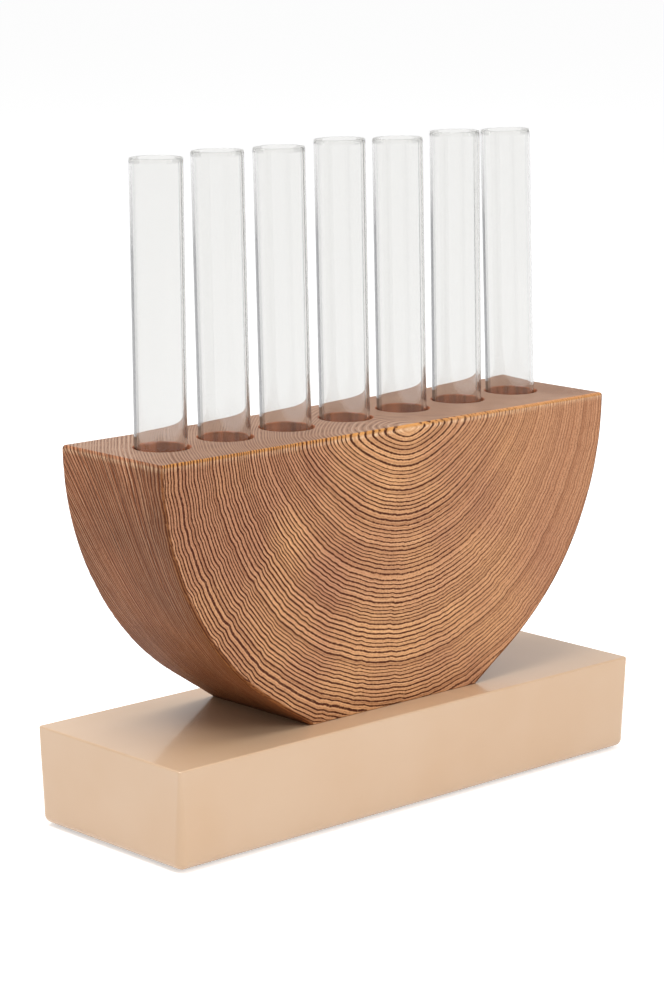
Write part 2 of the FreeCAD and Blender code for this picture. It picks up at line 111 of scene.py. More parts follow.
class Graph:
    """A material's nodes, added one at a time from the coordinates to the shader."""

    def __init__(self, name: str) -> None:
        """Start an empty material with a Principled shader.

        Args:
            name: The material's name.
        """
        self.material = bpy.data.materials.new(name)
        self.material.use_nodes = True
        self.tree = self.material.node_tree
        self.tree.nodes.clear()
        self.output = self.tree.nodes.new("ShaderNodeOutputMaterial")
        self.shader = self.add("ShaderNodeBsdfPrincipled")
        self.tree.links.new(self.shader.outputs[0], self.output.inputs["Surface"])

    def add(
        self, kind: str, sockets: dict[str | int, object] | None = None, **settings: object
    ) -> bpy.types.Node:
        """Add a node.

        Args:
            kind: The node's type name.
            sockets: Values or other nodes' output sockets for its inputs, by name or index.
            **settings: Properties of the node itself.

        Returns:
            The new node.
        """
        node = self.tree.nodes.new(kind)
        for name, setting in settings.items():
            setattr(node, name, setting)
        self.feed(node, sockets or {})
        return node

    def feed(self, node: bpy.types.Node, sockets: dict[str | int, object]) -> None:
        """Set or link some of a node's inputs.

        Args:
            node: The node.
            sockets: Values or output sockets, by input name or index.
        """
        for name, source in sockets.items():
            if isinstance(source, bpy.types.NodeSocket):
                self.tree.links.new(source, node.inputs[name])
            else:
                node.inputs[name].default_value = source

    def math(self, operation: str, *values: object, clamp: bool = False) -> Socket:
        """Work out a number.

        Args:
            operation: The operation's name, such as ADD.
            *values: Numbers or output sockets.
            clamp: Whether the result is kept from 0 to 1.

        Returns:
            The result's socket.
        """
        sockets = dict(enumerate(values))
        return self.add("ShaderNodeMath", sockets, operation=operation, use_clamp=clamp).outputs[0]

    def ramp(self, factor: object, stops: Sequence[tuple[float, Colour]]) -> Socket:
        """Turn a number into a colour.

        Args:
            factor: The number's socket.
            stops: Places from 0 to 1, each with its colour.

        Returns:
            The colour's socket.
        """
        node = self.add("ShaderNodeValToRGB", {"Fac": factor})
        elements = node.color_ramp.elements
        while len(elements) < len(stops):
            elements.new(1.0)
        for element, (place, shade) in zip(elements, stops):
            element.position = place
            element.color = (*shade, 1.0)
        return node.outputs["Color"]

    def spread(self, factor: object, low: float, high: float) -> Socket:
        """Stretch a number so that a span of it fills 0 to 1.

        Args:
            factor: The number's socket.
            low: The value that becomes 0.
            high: The value that becomes 1.

        Returns:
            The stretched number's socket.
        """
        sockets = {"Value": factor, "From Min": low, "From Max": high}
        return self.add("ShaderNodeMapRange", sockets, clamp=True).outputs[0]

    def noise(
        self, vector: object, scale: float, detail: float = 2.0, stretch: Sequence[float] = (1, 1, 1)
    ) -> Socket:
        """Add a smooth noise from 0 to 1.

        Args:
            vector: The coordinates' socket.
            scale: Waves to a metre.
            detail: Octaves of finer noise.
            stretch: How much finer the noise is along each axis.

        Returns:
            The noise's socket.
        """
        mapped = self.add("ShaderNodeMapping", {"Vector": vector, "Scale": tuple(stretch)})
        sockets = {"Vector": mapped.outputs[0], "Scale": scale, "Detail": detail}
        return self.add("ShaderNodeTexNoise", sockets).outputs[0]

    def plus(self, first: object, second: object) -> Socket:
        """Return the socket of a sum."""
        return self.math("ADD", first, second)

    def minus(self, first: object, second: object) -> Socket:
        """Return the socket of a difference."""
        return self.math("SUBTRACT", first, second)

    def times(self, *values: object) -> Socket:
        """Multiply numbers, one after another.

        Args:
            *values: Numbers or output sockets.

        Returns:
            The product's socket.
        """
        product = values[0]
        for value in values[1:]:
            product = self.math("MULTIPLY", product, value)
        return product

    def rest(self, value: object) -> Socket:
        """Return the socket of what a number lacks to 1, kept from 0 to 1."""
        return self.math("SUBTRACT", 1.0, value, clamp=True)

    def away(self, value: object, middle: float) -> Socket:
        """Return the socket of a number's distance from a middle value."""
        return self.math("ABSOLUTE", self.minus(value, middle))

    def blend(self, factor: object, below: object, above: object) -> Socket:
        """Lay one colour over another.

        Args:
            factor: How much of the upper colour shows.
            below: The lower colour.
            above: The upper colour.

        Returns:
            The colour's socket.
        """
        node = self.add("ShaderNodeMix", data_type="RGBA")
        colours = [(*c[:3], 1.0) if isinstance(c, tuple) else c for c in (below, above)]
        self.feed(node, {0: factor, 6: colours[0], 7: colours[1]})
        return node.outputs[2]

    def cover(self, ground: object, layers: Sequence[tuple[object, float, Colour]]) -> Socket:
        """Lay colours over a ground, one after another.

        Args:
            ground: The lowest colour's socket.
            layers: For each colour, the socket of how much of it shows, what that is multiplied by,
                and the colour. A layer that is multiplied by 0 is left out.

        Returns:
            The colour's socket.
        """
        for share, strength, shade in layers:
            if strength > 0:
                ground = self.blend(self.times(share, strength), ground, shade)
        return ground

    def bump(self, height: object, distance: float, strength: float = 1.0) -> Socket:
        """Turn a height from 0 to 1 into a bent normal.

        Args:
            height: The height's socket.
            distance: The relief in metres for a height of 1.
            strength: How much of it shows.

        Returns:
            The normal's socket.
        """
        sockets = {"Height": height, "Distance": distance, "Strength": strength}
        return self.add("ShaderNodeBump", sockets).outputs[0]

    def place(self) -> Socket:
        """Return the object's own coordinates."""
        return self.add("ShaderNodeTexCoord").outputs["Object"]

    def reading(self, name: str) -> Socket:
        """Return a number kept on the mesh."""
        return self.add("ShaderNodeAttribute", attribute_name=name).outputs["Fac"]

    def finished(self, sockets: dict[str | int, object]) -> bpy.types.Material:
        """Set or link the shader's inputs.

        Args:
            sockets: Values or output sockets, by input name.

        Returns:
            The material.
        """
        self.feed(self.shader, sockets)
        return self.material


@dataclass(frozen=True, eq=False)
class GrowthRings:
    """The tree's growth rings through the block, as one field of ring numbers in space.

    The log's axis slants away from the front, so the rings are round on the front face and draw out
    into long curves over the top and the sides.
    """

    pith: Vector
    edge_height: float
    spacing: float = 2.1 * MM
    first_gap: float = 1.13
    axis_rise: float = 0.35
    foot_slant: float = 14.0
    side_slant: float = 0.62
    slant_width: float = 18 * MM
    back_slant: float = 0.6
    back_ease: float = 16 * MM
    spread_waves: tuple[tuple[float, float, float], ...] = (
        (0.35, 31 * MM, 0.4),
        (0.17, 13.7 * MM, 2.1),
        (0.07, 6.1 * MM, 4.0),
    )
    kinks: tuple[tuple[float, int, float], ...] = (
        (0.0060, 9, 0.9),
        (0.0040, 23, 2.6),
        (0.0032, 41, 0.3),
        (0.0030, 67, 4.4),
        (0.0030, 101, 1.2),
    )
    kink_middle: float = 0.64
    kink_drift: float = 0.05
    drift_rings: float = 9.0
    steady_radius: float = 24 * MM
    fade_height: float = 9 * MM
    fade_depth: float = 8 * MM
    stretch: float = 1.85
    stretch_radius: float = 38 * MM
    stretch_start: float = 0.45
    level_ease: float = 0.06
    rounds: int = 5
    halvings: int = 24

    def number_at(self, even: np.ndarray) -> np.ndarray:
        """Return the ring number at a distance from the pith, where the rings are true circles.

        Args:
            even: The distance.

        Returns:
            The number, which is whole in the middle of each dark line.
        """
        waves = (
            share * np.sin(2 * math.pi * even / length + phase)
            for share, length, phase in self.spread_waves
        )
        return even / self.spacing + sum(waves) - self.first_gap

    def oval(self, even: np.ndarray) -> np.ndarray:
        """Return the share by which a ring is wider than it is high, which is large only near the pith.

        Args:
            even: The radius that the ring has upwards and downwards.

        Returns:
            The share.
        """
        return self.stretch * np.exp(-even / self.stretch_radius)

    def ripple(self, angle: np.ndarray, even: np.ndarray) -> np.ndarray:
        """Return the share by which the rings bulge in one direction from the pith.

        Args:
            angle: The direction, from 0 along +X down to pi along -X.
            even: The ring's radius.

        Returns:
            The share, which fades out at the pith.
        """
        turned = angle + self.kink_drift * np.sin(even / (self.drift_rings * self.spacing))
        kinks = (
            share * (np.abs(np.sin(rate * turned / 2 + phase)) - self.kink_middle)
            for share, rate, phase in self.kinks
        )
        return sum(kinks) * np.minimum(even / self.steady_radius, 1)

    def ring_at(self, x: np.ndarray, depth: np.ndarray, z: np.ndarray) -> np.ndarray:
        """Return the ring numbers at points of the block.

        Args:
            x: The points' places along the row.
            depth: Their distances behind the front face.
            z: Their heights.

        Returns:
            The ring numbers.
        """
        aside = x - self.pith.x
        down = self.pith.z + self.axis_rise * depth - z
        slant = self.side_slant * np.abs(aside) / (np.abs(aside) + self.slant_width)
        across = np.abs(aside) + slant * depth * (1 + self.foot_slant * np.maximum(self.pith.z - z, 0))
        radius = np.sqrt(across**2 + down**2 + self.back_slant * depth * (depth + self.back_ease))
        steep = np.hypot(down / np.maximum(radius, TINY), self.level_ease) - self.level_ease
        level = np.clip(1 - steep, 0, 1)
        sideways = level * (self.stretch_start + (1 - self.stretch_start) * level**2)
        bent = np.clip((self.edge_height - z) / self.fade_height, 0, 1) / (1 + depth / self.fade_depth)
        angle = np.arctan2(down, aside)
        even = radius
        for _ in range(self.rounds):
            even = radius / (1 + sideways * self.oval(even) + bent * self.ripple(angle, even))
        return self.number_at(even)

    def crossings(
        self, numbers: np.ndarray, starts: np.ndarray, ways: np.ndarray, low: np.ndarray, high: np.ndarray
    ) -> np.ndarray:
        """Find where straight lines cross rings, by halving the span that each crossing lies in.

        Args:
            numbers: The ring numbers.
            starts: Where the lines start, each as its x, depth and z.
            ways: The lines' directions.
            low: The nearest place on each line at which it may cross a ring.
            high: The farthest place.

        Returns:
            The distances along the lines, with a row for each line and a column for each ring.
        """
        near = np.repeat(low[:, None], len(numbers), axis=1)
        far = np.repeat(high[:, None], len(numbers), axis=1)
        for _ in range(self.halvings):
            middle = (near + far) / 2
            x, depth, z = (starts[:, axis, None] + ways[:, axis, None] * middle for axis in range(3))
            inside = self.ring_at(x, depth, z) < numbers
            near = np.where(inside, middle, near)
            far = np.where(inside, far, middle)
        return (near + far) / 2


@dataclass(frozen=True)
class GrainLayers:
    """How strongly each layer of the carved grain shows on one of the block's faces."""

    land: Colour
    land_dark: Colour
    pink: float
    band: float
    streak: float
    pale: float
    gold: float
    # The colour of the gold on the outer edges, partly wear and partly painted highlight.
    gold_edge_colour: Colour
    groove: float


@dataclass(frozen=True)
class WoodFinish:
    """Brushed and oiled wood: tan lands between dark open growth rings.

    A scale is in waves to a metre, or in waves to a ring for the bands and streaks. A span is the
    stretch of a number that fills 0 to 1, a reach is such a stretch along an axis, a share is how
    much of a layer shows, and a gain is how steeply a line falls off to its sides.
    """

    rings: GrowthRings
    land: Colour = colour(228, 171, 120)
    land_pink: Colour = colour(194, 138, 104)
    side: Colour = colour(190, 122, 84)
    side_dark: Colour = colour(116, 62, 32)
    top: Colour = colour(163, 130, 108)
    top_dark: Colour = colour(140, 104, 82)
    top_pale: Colour = colour(194, 170, 152)
    top_line: Colour = colour(82, 50, 34)
    # Painted shade: the bores' colours are darker than the top's, as the wood looks in the shade inside them.
    bore: Colour = colour(164, 94, 56)
    bore_dark: Colour = colour(118, 64, 36)
    groove: Colour = colour(72, 32, 18)
    # Gold on the outer edges is partly the wood's wear and partly a painted highlight.
    gold: Colour = colour(190, 130, 56)
    gold_dark: Colour = colour(128, 76, 34)
    # Pale colour for the grain's pale streaks and for a painted highlight just below the top edges.
    pale_grain_and_highlight: Colour = colour(240, 206, 168)
    broad_scale: float = 16.0
    broad_span: Span = (0.36, 0.64)
    pore_scale: float = 1500.0
    pore_span: Span = (0.53, 0.7)
    pore_share: float = 0.28
    right_reach: Span = (25 * MM, 120 * MM)
    right_calm: float = 0.5
    low_reach: Span = (40 * MM, 125 * MM)
    band_scale: float = 0.42
    band_span: Span = (0.46, 0.66)
    streak_scale: float = 2.6
    streak_span: Span = (0.38, 0.66)
    streak_drift: float = 1.2
    drift_scale: float = 90.0
    pale_gain: float = 1.6
    hair_shift: float = 0.02
    hair_gain: float = 9.0
    hair_span: Span = (0.42, 0.6)
    hair_share: float = 0.5
    dot_scale: float = 900.0
    dot_span: Span = (0.2, 0.5)
    dot_share: float = 0.28
    ragged_scale: float = 780.0
    ragged_share: float = 0.7
    groove_span: Span = (0.22, 0.42)
    # How patchy the painted highlight below the top edges is along the streaks.
    highlight_least: float = 0.15
    highlight_share: float = 0.7
    gold_edge_share: float = 0.9
    warp_scale: float = 60.0
    top_warp: float = 1.4 * MM
    line_gain: float = 4.6
    line_share: float = 0.95
    twin_gain: float = 8.0
    twin_share: float = 0.6
    patch_scale: float = 110.0
    patch_span: Span = (0.3, 0.62)
    top_streak_share: float = 0.5
    top_pore_span: Span = (0.5, 0.7)
    top_pore_share: float = 0.25
    fine_height: float = 0.5
    hair_height: float = 0.3
    top_fine_height: float = 0.4
    top_line_height: float = 0.6
    relief: float = 0.25 * MM
    relief_strength: float = 0.6
    roughness: float = 0.5
    gloss: float = 0.08
    bore_scale: float = 260.0
    bore_stretch: tuple[float, float, float] = (1, 1, 0.12)
    bore_relief: float = 0.2 * MM
    bore_relief_strength: float = 0.5
    bore_roughness: float = 0.6
    bore_gloss: float = 0.3

    def material(self, face: WoodFace) -> bpy.types.Material:
        """Make the finish for one way of cutting the grain.

        Args:
            face: How the grain shows.

        Returns:
            The material.
        """
        graph = Graph(f"block_wood_{face.name.lower()}")
        place = graph.place()
        if face is WoodFace.BORE:
            return self.bore_material(graph, place)
        broad = graph.spread(graph.noise(place, self.broad_scale, detail=3), *self.broad_span)
        fine = graph.noise(place, self.pore_scale)
        if face is WoodFace.TOP:
            surface, height = self.top_grain(graph, place, broad, fine)
        else:
            surface, height = self.carved_grain(graph, self.layers(face), place, broad, fine)
        return graph.finished({
            "Base Color": surface,
            "Normal": graph.bump(height, self.relief, self.relief_strength),
            "Roughness": self.roughness,
            "Specular IOR Level": self.gloss,
        })

    def layers(self, face: WoodFace) -> GrainLayers:
        """Choose the layers of a carved face.

        Args:
            face: The end grain of the flat faces, or the side.

        Returns:
            The layers, with the side darker and browner than the end grain.
        """
        if face is WoodFace.END:
            return GrainLayers(
                land=self.land, land_dark=self.land_pink, pink=0.8, band=0.35, streak=0.3, pale=0.12,
                gold=0.0, gold_edge_colour=self.gold, groove=0.98,
            )
        return GrainLayers(
            land=self.side, land_dark=self.side_dark, pink=0.0, band=0.7, streak=0.85, pale=0.34,
            gold=0.5, gold_edge_colour=self.gold_dark, groove=0.8,
        )

    def carved_grain(
        self, graph: Graph, layers: GrainLayers, place: object, broad: object, fine: object
    ) -> tuple[Socket, Socket]:
        """Colour a carved face by the ring lines kept on the mesh.

        Args:
            graph: The material's nodes.
            layers: How strongly each layer shows.
            place: The object's coordinates.
            broad: A slow noise.
            fine: A fine noise.

        Returns:
            The colour and the height of the fine relief.
        """
        ring, line, gold_edge, edge_highlight = (graph.reading(name) for name in ("ring", "line", "gold_edge", "edge_highlight"))
        x, _, z = graph.add("ShaderNodeSeparateXYZ", {0: place}).outputs
        right = graph.spread(x, *self.right_reach)
        low = graph.spread(z, *(self.rings.pith.z - drop for drop in self.low_reach))
        across = graph.add("ShaderNodeCombineXYZ", {"X": ring}).outputs[0]
        band = graph.spread(graph.noise(across, self.band_scale), *self.band_span)
        streak = self.streaks(graph, ring, place)
        pale = graph.rest(graph.times(streak, self.pale_gain))
        turn = graph.math("FRACT", graph.plus(ring, self.hair_shift))
        hair = graph.rest(graph.times(graph.away(turn, 0.5), self.hair_gain))
        hair = graph.times(hair, graph.spread(fine, *self.hair_span))
        # Painted highlight below the top edges, patchy along the streaks.
        patches = graph.math("ADD", self.highlight_least, graph.times(pale, self.highlight_share), clamp=True)
        shade = graph.cover(graph.ramp(broad, [(0.0, layers.land), (1.0, layers.land_dark)]), [
            (right, layers.pink, self.land_pink),
            (band, layers.band, self.side_dark),
            (streak, layers.streak, self.side_dark),
            (pale, layers.pale, self.pale_grain_and_highlight),
            (low, layers.gold, self.gold_dark),
            (hair, self.hair_share, self.groove),
            (graph.spread(fine, *self.pore_span), self.pore_share, self.side_dark),
            # Painted highlight: a pale band just below the top edges.
            (graph.times(edge_highlight, patches), 1.0, self.pale_grain_and_highlight),
            # Gold on the outer edges: partly wear, partly painted highlight.
            (gold_edge, self.gold_edge_share, layers.gold_edge_colour),
            (self.groove_lines(graph, line, place, right), layers.groove, self.groove),
        ])
        height = graph.minus(graph.times(fine, self.fine_height), graph.times(hair, self.hair_height))
        return shade, height

    def groove_lines(self, graph: Graph, line: object, place: object, right: object) -> Socket:
        """Work out how dark the grooves are, with ragged edges and dotted along their length.

        Args:
            graph: The material's nodes.
            line: How deep in a groove the point lies.
            place: The object's coordinates.
            right: How far to the right the point lies, where the grooves are calmer.

        Returns:
            The socket of the grooves' darkness.
        """
        dotted = graph.spread(graph.noise(place, self.dot_scale, detail=1), *self.dot_span)
        ragged = graph.times(graph.minus(graph.noise(place, self.ragged_scale), 0.5), self.ragged_share)
        edge = graph.spread(graph.plus(line, ragged), *self.groove_span)
        dots = graph.plus(1 - self.dot_share, graph.times(dotted, self.dot_share))
        calm = graph.rest(graph.times(right, self.right_calm))
        return graph.times(edge, dots, calm)

    def streaks(self, graph: Graph, ring: object, place: object) -> Socket:
        """Make fine streaks along the rings, several to a ring.

        Args:
            graph: The material's nodes.
            ring: The ring number.
            place: The object's coordinates.

        Returns:
            The streaks' socket, from 0 to 1.
        """
        loose = graph.times(graph.noise(place, self.drift_scale), self.streak_drift)
        across = graph.add("ShaderNodeCombineXYZ", {"X": graph.plus(ring, loose)})
        return graph.spread(graph.noise(across.outputs[0], self.streak_scale), *self.streak_span)

    def ring_lines(self, graph: Graph, place: object) -> Socket:
        """Work out the ring number from the place, as the field of rings does.

        Args:
            graph: The material's nodes.
            place: The object's coordinates.

        Returns:
            The ring number's socket.
        """
        rings = self.rings
        x, y, z = graph.add("ShaderNodeSeparateXYZ", {0: place}).outputs
        depth = graph.minus(y, rings.pith.y)
        aside = graph.away(x, rings.pith.x)
        slant = graph.math("DIVIDE", aside, graph.plus(aside, rings.slant_width))
        across = graph.plus(aside, graph.times(depth, rings.side_slant, slant))
        behind = graph.times(depth, rings.back_slant, graph.plus(depth, rings.back_ease))
        axis = graph.plus(graph.times(depth, rings.axis_rise), rings.pith.z)
        down = graph.math("ABSOLUTE", graph.minus(axis, z))
        level_square = graph.plus(graph.times(across, across), behind)
        radius = graph.math("SQRT", graph.plus(level_square, graph.times(down, down)))
        share = graph.math("DIVIDE", down, radius)
        eased_square = graph.plus(graph.times(share, share), rings.level_ease**2)
        level = graph.minus(1 + rings.level_ease, graph.math("SQRT", eased_square))
        curve = graph.times(level, level, 1 - rings.stretch_start)
        sideways = graph.times(level, graph.plus(curve, rings.stretch_start))
        even = radius
        for _ in range(rings.rounds):
            near = graph.math("EXPONENT", graph.times(even, -1 / rings.stretch_radius))
            wide = graph.times(near, rings.stretch, sideways)
            even = graph.math("DIVIDE", radius, graph.plus(wide, 1.0))
        warp = graph.times(graph.minus(graph.noise(place, self.warp_scale), 0.5), self.top_warp)
        even = graph.plus(even, warp)
        number = graph.minus(graph.math("DIVIDE", even, rings.spacing), rings.first_gap)
        for share, length, phase in rings.spread_waves:
            turn = graph.plus(graph.times(even, 2 * math.pi / length), phase)
            number = graph.plus(number, graph.times(graph.math("SINE", turn), share))
        return number

    def top_grain(self, graph: Graph, place: object, broad: object, fine: object) -> tuple[Socket, Socket]:
        """Colour the planed top, with fine lines where the rings come through.

        Args:
            graph: The material's nodes.
            place: The object's coordinates.
            broad: A slow noise.
            fine: A fine noise.

        Returns:
            The colour and the height of the fine relief.
        """
        number = self.ring_lines(graph, place)
        near = graph.away(graph.math("FRACT", graph.plus(number, 0.5)), 0.5)
        line = graph.rest(graph.times(near, self.line_gain))
        twin = graph.rest(graph.times(graph.away(near, 0.5), self.twin_gain))
        patchy = graph.spread(graph.noise(place, self.patch_scale), *self.patch_span)
        shade = graph.cover(graph.ramp(broad, [(0.0, self.top), (1.0, self.top_dark)]), [
            (graph.times(line, patchy), self.line_share, self.top_line),
            (self.streaks(graph, number, place), self.top_streak_share, self.top_line),
            (twin, self.twin_share, self.top_pale),
            (graph.spread(fine, *self.top_pore_span), self.top_pore_share, self.top_dark),
        ])
        height = graph.minus(graph.times(fine, self.top_fine_height), graph.times(line, self.top_line_height))
        return shade, height

    def bore_material(self, graph: Graph, place: object) -> bpy.types.Material:
        """Make the finish of the drilled bores, plainer than the top and darker with painted shade.

        Args:
            graph: The material's nodes.
            place: The object's coordinates.

        Returns:
            The material.
        """
        noise = graph.noise(place, self.bore_scale, detail=3, stretch=self.bore_stretch)
        streak = graph.spread(noise, *NOISE_SPAN)
        return graph.finished({
            "Base Color": graph.ramp(streak, [(0.0, self.bore), (1.0, self.bore_dark)]),
            "Roughness": self.bore_roughness,
            "Specular IOR Level": self.bore_gloss,
            "Normal": graph.bump(streak, self.bore_relief, self.bore_relief_strength),
        })


@dataclass(frozen=True)
class LacquerFinish:
    """Champagne-gold satin lacquer with a faint mottle."""

    base: Colour = colour(204, 173, 142)
    warm: Colour = colour(200, 166, 132)
    mottle_scale: float = 14.0
    peel_scale: float = 420.0
    peel_relief: float = 0.06 * MM
    peel_strength: float = 0.25
    roughness: float = 0.42
    metallic: float = 0.04
    coat: float = 0.5
    coat_roughness: float = 0.1

    def material(self) -> bpy.types.Material:
        """Make the lacquer.

        Returns:
            The material.
        """
        graph = Graph("slab_lacquer")
        place = graph.place()
        mottle = graph.spread(graph.noise(place, self.mottle_scale, detail=3), *NOISE_SPAN)
        peel = graph.noise(place, self.peel_scale)
        return graph.finished({
            "Base Color": graph.ramp(mottle, [(0.0, self.base), (1.0, self.warm)]),
            "Roughness": self.roughness,
            "Metallic": self.metallic,
            "Coat Weight": self.coat,
            "Coat Roughness": self.coat_roughness,
            "Normal": graph.bump(peel, self.peel_relief, self.peel_strength),
        })


@dataclass(frozen=True)
class GlassFinish:
    """Clear laboratory glass, with painted shade where one looks along the wall, darker on one side."""

    tint: Colour = (0.935, 0.933, 0.924)
    # Painted shade: grey where the view grazes the wall, dark on one side, for the dark surroundings seen in
    # the glass.
    painted_edge_shade: Colour = (0.77, 0.77, 0.78)
    painted_shade_tint: Colour = (0.02, 0.022, 0.03)
    absorption: Colour = (0.62, 0.64, 0.62)
    edge_stops: tuple[float, ...] = (0.5, 0.6, 0.72, 0.93)
    dark_stops: tuple[float, ...] = (0.5, 0.56, 0.82, 0.88)
    density: float = 5.0
    clearness: float = 0.985
    refraction: float = 1.5
    gloss: float = 0.3
    lip_share: float = 0.7

    def material(self) -> bpy.types.Material:
        """Make the glass, with a line of painted shade where one looks along the wall.

        Returns:
            The material. Its painted shade line is dark on the side that the mesh marks, and its lip is
            clearer.
        """
        graph = Graph("tube_glass")
        lip = graph.reading("lip")
        facing = graph.add("ShaderNodeLayerWeight", {"Blend": 0.5}).outputs["Facing"]
        clear = (*self.tint, 1)
        edge_tints = (self.tint, self.painted_edge_shade, self.tint, self.painted_edge_shade)
        dark_tints = (self.tint, self.painted_shade_tint, self.painted_shade_tint, self.tint)
        # Painted shade: a faint grey line all round and a dark line on the marked side.
        faint = graph.ramp(facing, list(zip(self.edge_stops, edge_tints)))
        dark = graph.ramp(facing, list(zip(self.dark_stops, dark_tints)))
        lined = graph.blend(graph.reading("painted_shade_side"), faint, dark)
        glass = graph.finished({
            "Base Color": graph.blend(lip, lined, clear),
            "Roughness": 0.0,
            "IOR": self.refraction,
            "Transmission Weight": self.clearness,
            "Specular IOR Level": self.gloss,
        })
        absorption = {"Color": (*self.absorption, 1), "Density": self.density}
        body = graph.add("ShaderNodeVolumeAbsorption", absorption).outputs[0]
        shadow = graph.add("ShaderNodeBsdfTransparent", {"Color": clear}).outputs[0]
        is_shadow = graph.add("ShaderNodeLightPath").outputs["Is Shadow Ray"]
        passed = graph.math("MAXIMUM", is_shadow, graph.times(lip, self.lip_share))
        surface = graph.add("ShaderNodeMixShader", {0: passed, 1: graph.shader.outputs[0], 2: shadow})
        graph.feed(graph.output, {"Surface": surface.outputs[0], "Volume": body})
        return glass


@dataclass(frozen=True)
class SteelFinish:
    """Zinc-plated steel with a fine frosted grain."""

    name: str
    base: Colour = (0.56, 0.57, 0.58)
    blue: Colour = (0.48, 0.52, 0.58)
    cloud_scale: float = 240.0
    grain_scale: float = 2600.0
    roughness_span: Span = (-0.6, 1.9)
    relief: float = 0.02 * MM
    relief_strength: float = 0.5

    def material(self) -> bpy.types.Material:
        """Make the steel.

        Returns:
            The material.
        """
        graph = Graph(self.name)
        place = graph.place()
        cloud = graph.spread(graph.noise(place, self.cloud_scale, detail=3), *NOISE_SPAN)
        grain = graph.noise(place, self.grain_scale)
        return graph.finished({
            "Base Color": graph.ramp(cloud, [(0.0, self.base), (1.0, self.blue)]),
            "Metallic": 1.0,
            "Roughness": graph.spread(grain, *self.roughness_span),
            "Normal": graph.bump(grain, self.relief, self.relief_strength),
        })


@dataclass(frozen=True)
class DowelFinish:
    """Plain pale beech, with short flecks along the grain."""

    base: Colour = colour(214, 180, 138)
    fleck: Colour = colour(176, 132, 92)
    fleck_scale: float = 900.0
    fleck_stretch: tuple[float, float, float] = (1, 1, 0.08)
    fleck_span: Span = (0.4, 0.7)
    roughness: float = 0.6
    relief: float = 0.1 * MM
    relief_strength: float = 0.4

    def material(self) -> bpy.types.Material:
        """Make the beech.

        Returns:
            The material.
        """
        graph = Graph("dowel_wood")
        streak = graph.noise(graph.place(), self.fleck_scale, detail=3, stretch=self.fleck_stretch)
        flecks = graph.spread(streak, *self.fleck_span)
        return graph.finished({
            "Base Color": graph.ramp(flecks, [(0.0, self.base), (1.0, self.fleck)]),
            "Roughness": self.roughness,
            "Normal": graph.bump(streak, self.relief, self.relief_strength),
        })


@dataclass(frozen=True)
class FeltFinish:
    """Pressed brown felt."""

    base: Colour = colour(120, 96, 76)
    dark: Colour = colour(84, 66, 52)
    fibre_scale: float = 1400.0
    tuft_span: Span = (0.35, 0.7)
    roughness: float = 0.95
    sheen: float = 0.5
    relief: float = 0.25 * MM
    relief_strength: float = 0.8

    def material(self) -> bpy.types.Material:
        """Make the felt.

        Returns:
            The material.
        """
        graph = Graph("pad_felt")
        fibre = graph.noise(graph.place(), self.fibre_scale, detail=4)
        tufts = graph.spread(fibre, *self.tuft_span)
        return graph.finished({
            "Base Color": graph.ramp(tufts, [(0.0, self.base), (1.0, self.dark)]),
            "Roughness": self.roughness,
            "Sheen Weight": self.sheen,
            "Normal": graph.bump(fibre, self.relief, self.relief_strength),
        })


def finished_object(
    bm: bmesh.types.BMesh, name: str, materials: Sequence[bpy.types.Material]
) -> bpy.types.Object:
    """Turn a bmesh into an object of the scene.

    Args:
        bm: The mesh, which is used up.
        name: The object's name.
        materials: Its materials, in the order of its faces' numbers.

    Returns:
        The object.
    """
    mesh = bpy.data.meshes.new(name)
    bm.to_mesh(mesh)
    bm.free()
    for material in materials:
        mesh.materials.append(material)
    piece = bpy.data.objects.new(name, mesh)
    bpy.context.scene.collection.objects.link(piece)
    return piece


def dress_node(node: str, material: bpy.types.Material) -> None:
    """Give a node of the frame its finish.

    Args:
        node: The node's name.
        material: The finish.
    """
    piece = frame["nodes"][node]
    piece.data.materials.clear()
    piece.data.materials.append(material)
    log.info("dressed %s in %s", node, material.name)


def mapped_grid(bm: bmesh.types.BMesh, columns: int, rows: int, place: Place, surface: WoodFace) -> None:
    """Add a grid and move each of its vertices to its place.

    Args:
        bm: The mesh that the grid is added to.
        columns: Vertices along the grid.
        rows: Vertices across it.
        place: Gives a vertex's place from its column and row.
        surface: How the grain shows on the grid.
    """
    grid = bmesh.ops.create_grid(bm, x_segments=columns - 1, y_segments=rows - 1, size=0.5)
    for vertex in grid["verts"]:
        column = round((vertex.co.x + 0.5) * (columns - 1))
        row = round((vertex.co.y + 0.5) * (rows - 1))
        vertex.co = place(column, row)
    for face in {face for vertex in grid["verts"] for face in vertex.link_faces}:
        face.material_index = surface.value
        face.smooth = True


@dataclass(frozen=True)
class Station:
    """A place on the block's outline: the centre of its rounded edge, the way out from it, and the radius."""

    x: float
    z: float
    out_x: float
    out_z: float
    radius: float

    def edge_point(self, turn: float, y: float, inward: float) -> Vector:
        """Return a point of the rounded edge between a flat face and the side.

        Args:
            turn: 0 on the flat face, a right angle on the side.
            y: The flat face's place.
            inward: 1 for the front face, -1 for the back.

        Returns:
            The point.
        """
        out = self.radius * math.sin(turn)
        back = inward * self.radius * (1 - math.cos(turn))
        return Vector((self.x + out * self.out_x, y + back, self.z + out * self.out_z))


